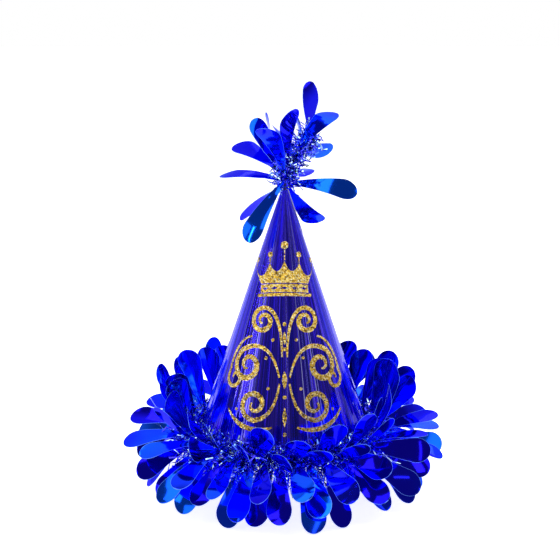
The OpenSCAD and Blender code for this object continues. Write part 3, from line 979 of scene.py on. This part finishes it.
@dataclass
class Tinsel:
    """Curly strands of slit film that stand off a core: flat ribbons that wind as they go."""

    sizes: HatSizes
    strand_t: float = 0.08
    widths: tuple[float, float] = (0.9, 1.8)
    lengths: tuple[float, float] = (6.5, 13.0)
    winds: tuple[float, float] = (0.5, 1.8)
    # Longest bend aside, growing swing of the helix and narrowing of the ribbon, as shares
    bend: float = 0.5
    swing: float = 0.17
    taper: float = 0.35
    # Part of a bent strand's length that the bend takes from its reach
    slack: float = 0.2
    # Turns of the ribbon's width for each turn of its path
    spin: float = 1.7
    # Share of the core's radius at which a strand is rooted
    rooted: float = 0.8
    hanging: float = 2.2
    hem_lifts: tuple[float, float] = (-75.0, 112.0)
    hem_skew: float = 0.7
    hem_gap: float = 0.5
    floor_gap: float = 0.05
    tuft_from: float = 0.03
    tuft_slants: tuple[float, float] = (-0.5, 0.7)
    tip_gap: float = 0.3
    stations: int = 7

    def strands(self, root: np.ndarray, aim: np.ndarray, stretch: np.ndarray,
                rng: np.random.Generator) -> np.ndarray:
        """Closed ribbons along curly paths.

        A path goes out along its aim, bends aside with the square of its length and winds round
        itself in a small helix; the ribbon's width turns with that helix.

        Args:
            root: Start of each strand.
            aim: Unit direction in which it leaves.
            stretch: Factor on its length.
            rng: Source of the strands' differences.

        Returns:
            Points of strands by stations by four corners by three.
        """
        count = len(root)
        short, long = self.lengths
        length = short + (long - short) * rng.uniform(0, 1, count) ** 2
        length = (length * stretch)[:, None, None]
        width = rng.uniform(*self.widths, count)[:, None, None] / 2
        spare = rng.normal(size=(count, 3))
        side = np.cross(aim, spare)
        side /= np.linalg.norm(side, axis=1, keepdims=True)
        up = np.cross(aim, side)
        t = np.linspace(0, 1, self.stations)[None, :, None]
        winds = rng.uniform(*self.winds, count)[:, None, None] * 2 * math.pi
        start = rng.uniform(0, 2 * math.pi, count)[:, None, None]
        bend = rng.uniform(-self.bend, self.bend, count)[:, None, None]
        aim, side, up, base = (v[:, None, :] for v in (aim, side, up, root))
        swing = self.swing * length * t
        wave = side * np.cos(start + winds * t) + up * np.sin(start + winds * t)
        spine = (base + aim * length * t * (1 - self.slack * t * np.abs(bend))
                 + side * bend * length * t**2)
        spine = spine + wave * swing
        roll = start + winds * t * self.spin
        across = side * np.cos(roll) + up * np.sin(roll)
        way = np.gradient(spine, axis=1)
        way /= np.linalg.norm(way, axis=2, keepdims=True)
        across -= np.sum(across * way, axis=2, keepdims=True) * way
        across /= np.linalg.norm(across, axis=2, keepdims=True)
        thick = np.cross(way, across) * self.strand_t / 2
        across = across * width * (1 - self.taper * t)
        corners = [across + thick, -across + thick, -across - thick, across - thick]
        return np.stack([spine + corner for corner in corners], axis=2)

    def piece(self, name: str, points: np.ndarray, tints: np.ndarray, film: Any,
              nodes: list[str]) -> Any:
        """Make one object from many strands."""
        size = self.stations * 4
        quads = tube_quads(self.stations, 4)
        quads = quads[None] + (np.arange(len(points)) * size)[:, None, None]
        return make_piece(name, points.reshape(-1, 3), quads.reshape(-1, 4), film,
                          nodes, {"tint": np.repeat(tints, size)}, sharp=60.0)

    def round_hem(self, film: Any, count: int = 3700, seed: int = 31) -> Any:
        """Build the tinsel round the hem.

        A strand leaves the core anywhere round the ring, away from the card, and no point of it
        goes into the card or the floor. Those that leave below the core hang longer.

        Args:
            film: Finish of the strands.
            count: Number of strands.
            seed: Seed of their places.

        Returns:
            The tinsel's object.
        """
        sizes = self.sizes
        rng = np.random.default_rng(seed)
        angle = rng.uniform(0, 2 * math.pi, count)
        lift = np.radians(rng.uniform(*self.hem_lifts, count))
        skew = rng.uniform(-self.hem_skew, self.hem_skew, count)
        out = np.stack([np.cos(angle), np.sin(angle), np.zeros(count)], axis=-1)
        tangent = np.stack([-np.sin(angle), np.cos(angle), np.zeros(count)], axis=-1)
        spoke = out * np.cos(lift)[:, None] + np.array([0, 0, 1]) * np.sin(lift)[:, None]
        root = (out * sizes.ring_r + np.array([0, 0, sizes.core_z])
                + spoke * sizes.core_r * self.rooted)
        aim = spoke + tangent * skew[:, None]
        aim /= np.linalg.norm(aim, axis=1, keepdims=True)
        points = self.strands(root, aim, np.where(lift < 0, self.hanging, 1.0), rng)
        reach = np.hypot(points[..., 0], points[..., 1])
        least = sizes.wall_r(points[..., 2] - sizes.hem_z) + self.hem_gap
        points[..., :2] *= (np.maximum(reach, least) / reach)[..., None]
        points[..., 2] = np.maximum(points[..., 2], self.floor_gap)
        return self.piece("hem_tinsel", points, rng.uniform(0, 1, count), film, ["brim_fringe"])

    def on_tuft(self, tuft: Tuft, film: Any, count: int = 420, seed: int = 37) -> Any:
        """Build the tinsel on the tuft's core, no point of it inside the card.

        Args:
            tuft: Tuft whose core carries the strands.
            film: Finish of the strands.
            count: Number of strands.
            seed: Seed of their places.

        Returns:
            The tinsel's object.
        """
        rng = np.random.default_rng(seed)
        place, way = tuft.stem(rng.uniform(self.tuft_from, 1, count))
        roll = rng.uniform(0, 2 * math.pi, count)[:, None]
        beside = np.array([[0.0, 1.0, 0.0]])
        spoke = beside * np.cos(roll) + np.cross(way, beside) * np.sin(roll)
        aim = spoke + way * rng.uniform(*self.tuft_slants, count)[:, None]
        aim /= np.linalg.norm(aim, axis=1, keepdims=True)
        root = place + spoke * self.sizes.core_r * self.rooted
        points = self.strands(root, aim, np.ones(count), rng)
        # A point on the axis would otherwise be divided by nothing
        reach = np.maximum(np.hypot(points[..., 0], points[..., 1]), 0.01)
        up = np.minimum(points[..., 2], self.sizes.tip_z) - self.sizes.hem_z
        least = self.sizes.wall_r(up) + self.tip_gap
        low = points[..., 2] < self.sizes.tip_z
        points[..., :2] *= np.where(low, np.maximum(reach, least) / reach, 1.0)[..., None]
        return self.piece("tuft_tinsel", points, rng.uniform(0, 1, count), film, ["tip_fringe"])


@dataclass(frozen=True)
class Softbox:
    """A rectangular lamp that faces the hat; its radiance is what a mirror of it would show."""

    name: str
    place: tuple[float, float, float]
    size: tuple[float, float]
    radiance: float

    def build(self, aim: np.ndarray) -> None:
        """Hang the lamp in metres, facing the aim, hidden from the camera itself."""
        lamp = bpy.data.lights.new(self.name, "AREA")
        lamp.shape = "RECTANGLE"
        lamp.size, lamp.size_y = self.size
        lamp.energy = self.radiance * math.pi * self.size[0] * self.size[1]
        holder = bpy.data.objects.new(self.name, lamp)
        bpy.context.scene.collection.objects.link(holder)
        holder.location = self.place
        holder.rotation_euler = facing(np.array(self.place), aim)
        holder.visible_camera = False


def facing(place: np.ndarray, aim: np.ndarray) -> tuple[float, float, float]:
    """Euler angles that turn a lamp's or camera's -Z from its place to its aim, Y side up."""
    way = aim - place
    return math.acos(-way[2] / np.linalg.norm(way)), 0.0, math.atan2(-way[0], way[1])


@dataclass
class Studio:
    """White floor and surround, soft lamps and the camera of the photograph."""

    aim_mm: tuple[float, float, float] = (-2.9, 0.0, 140.5)
    distance_mm: float = 850.0
    elevation_deg: float = 13.0
    lens: float = 83.36
    floor_r: float = 6.0
    floor_sides: int = 96
    # Glow of the floor in view and in mirrors, so that it looks as white as the surround
    white_share: float = 0.8
    lamp_aim: tuple[float, float, float] = (0.0, 0.0, 0.09)
    # Directions along Y between which the surround goes from dim to bright, and how dim
    bright_band: tuple[float, float] = (0.15, 0.42)
    dim: float = 0.2
    lamps: tuple[Softbox, ...] = (
        Softbox("left softbox", (-0.95, -0.64, 0.5), (0.42, 0.6), 1.4),
        Softbox("left strip", (-1.09, -0.36, 0.5), (0.035, 0.6), 14.0),
        Softbox("right softbox", (0.93, -0.68, 0.5), (0.14, 0.6), 1.1),
        Softbox("right strip", (1.14, 0.16, 0.45), (0.08, 0.6), 1.6),
        Softbox("top softbox", (-0.15, 0.0, 1.4), (1.2, 0.8), 2.6),
        Softbox("back softbox", (0.3, 1.3, 0.9), (1.0, 0.5), 2.2),
        Softbox("front strip", (0.07, -1.2, 0.65), (0.05, 0.4), 2.0),
        Softbox("front left softbox", (-0.3, -0.8, 1.0), (0.55, 0.5), 2.6),
        Softbox("front right softbox", (0.45, -0.7, 1.0), (0.45, 0.45), 1.6),
        Softbox("upper left softbox", (-0.85, 0.05, 0.95), (0.4, 0.5), 1.7),
        Softbox("upper right softbox", (0.85, 0.0, 1.0), (0.5, 0.6), 1.7),
        Softbox("low front fill", (0.5, -1.2, 0.22), (0.25, 0.2), 3.0))

    def build(self) -> None:
        """Set up the view, the floor, the world, the lamps and the camera."""
        bpy.context.scene.view_settings.view_transform = "Standard"
        self.build_floor()
        self.build_world()
        aim = np.array(self.aim_mm) * MM
        for lamp in self.lamps:
            lamp.build(np.array(self.lamp_aim))
        camera = bpy.data.cameras.new("photo camera")
        camera.lens = self.lens
        camera.sensor_width = 36.0
        camera.clip_start = 0.01
        holder = bpy.data.objects.new("photo camera", camera)
        bpy.context.scene.collection.objects.link(holder)
        tilt = math.radians(self.elevation_deg)
        way = np.array([0, -math.cos(tilt), math.sin(tilt)])
        holder.location = aim + self.distance_mm * MM * way
        holder.rotation_euler = (math.pi / 2 - tilt, 0.0, 0.0)
        bpy.context.scene.camera = holder

    def build_floor(self) -> None:
        """Lay a round white floor that glows in view, so that the hat's shadow stays faint."""
        angle = np.arange(self.floor_sides) * 2 * math.pi / self.floor_sides
        rim = np.stack([self.floor_r * np.cos(angle), self.floor_r * np.sin(angle),
                        np.zeros(self.floor_sides)], axis=-1)
        mesh = bpy.data.meshes.new("studio floor")
        mesh.from_pydata([tuple(p) for p in rim], [], [list(range(self.floor_sides))])
        material, tree = bare_material("matt white floor")
        matt = add(tree, "BsdfPrincipled", {"Base Color": srgb("#F4F4F4"), "Roughness": 0.8})
        paths = add(tree, "LightPath").outputs
        mirrored = add(tree, "Math", {0: paths["Is Glossy Ray"], 1: paths["Is Transmission Ray"]},
                       operation="MAXIMUM").outputs[0]
        seen = add(tree, "Math", {0: paths["Is Camera Ray"], 1: mirrored},
                   operation="MAXIMUM").outputs[0]
        strength = add(tree, "Math", {0: seen, 1: self.white_share},
                       operation="MULTIPLY").outputs[0]
        glow = add(tree, "Emission", {"Color": WHITE, "Strength": strength})
        mixed = add(tree, "AddShader", {0: matt.outputs[0], 1: glow.outputs[0]})
        add(tree, "OutputMaterial", {"Surface": mixed.outputs[0]})
        mesh.materials.append(material)
        floor = bpy.data.objects.new("studio_floor", mesh)
        bpy.context.scene.collection.objects.link(floor)

    def build_world(self) -> None:
        """Light the surround: white to the camera, dim before the hat and bright behind it."""
        world = bpy.data.worlds.new("studio surround")
        bpy.context.scene.world = world
        world.use_nodes = True
        tree = world.node_tree
        tree.nodes.clear()
        way = add(tree, "TexCoord").outputs["Generated"]
        back = add(tree, "SeparateXYZ", {0: way}).outputs["Y"]
        low, high = self.bright_band
        share = add(tree, "MapRange", {"Value": back, "From Min": low, "From Max": high,
                                       "To Min": self.dim, "To Max": 1.0}).outputs["Result"]
        seen = add(tree, "LightPath").outputs["Is Camera Ray"]
        grey = add(tree, "Background", {"Color": WHITE, "Strength": share})
        white = add(tree, "Background", {"Color": WHITE, "Strength": 1.0})
        mixed = add(tree, "MixShader", {0: seen, 1: grey.outputs[0], 2: white.outputs[0]})
        add(tree, "OutputWorld", {"Surface": mixed.outputs[0]})


def main() -> None:
    """Build the hat's pieces round the frame, then the studio."""
    sizes = HatSizes()
    leaf_film = MetallisedFilm().material()
    # The tinsel's palest strands are painted near white, a painted highlight
    tinsel_film = MetallisedFilm(name="slit tinsel film", roughness=0.08, dye="#2038FF",
                                 thin_dye="#4C8CFF", painted_glint="#D0F4FF", ripple=0.0, lacquer=1.0,
                                 cloud_mm=6.0).material()
    RolledCard(sizes).build(FoilCard().material(), WhiteBoard().material())
    leaf = FilmLeaf(sizes)
    HemGarland(sizes, leaf).build(leaf_film)
    tuft = Tuft(sizes, leaf)
    tuft.build(leaf_film)
    tinsel = Tinsel(sizes)
    tinsel.round_hem(tinsel_film)
    tinsel.on_tuft(tuft, tinsel_film)
    glitter = GoldGlitter().material()
    glue = HotMelt().material()
    for node in ("crown_print", "scroll_print"):
        dress_node(node, glitter)
    for node in ("brim_glue", "tip_glue"):
        dress_node(node, glue)
    thread = TwistedThread()
    dress_node("brim_core", thread.material((0, 0, sizes.core_z), sizes.ring_r, False))
    dress_node("tip_core", thread.material((sizes.arc_r, 0, sizes.tip_z), sizes.arc_r, True))
    Studio().build()


if __name__ == "__main__":
    logging.basicConfig(level=logging.INFO, format="%(name)s: %(message)s")
    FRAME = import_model()
    main()
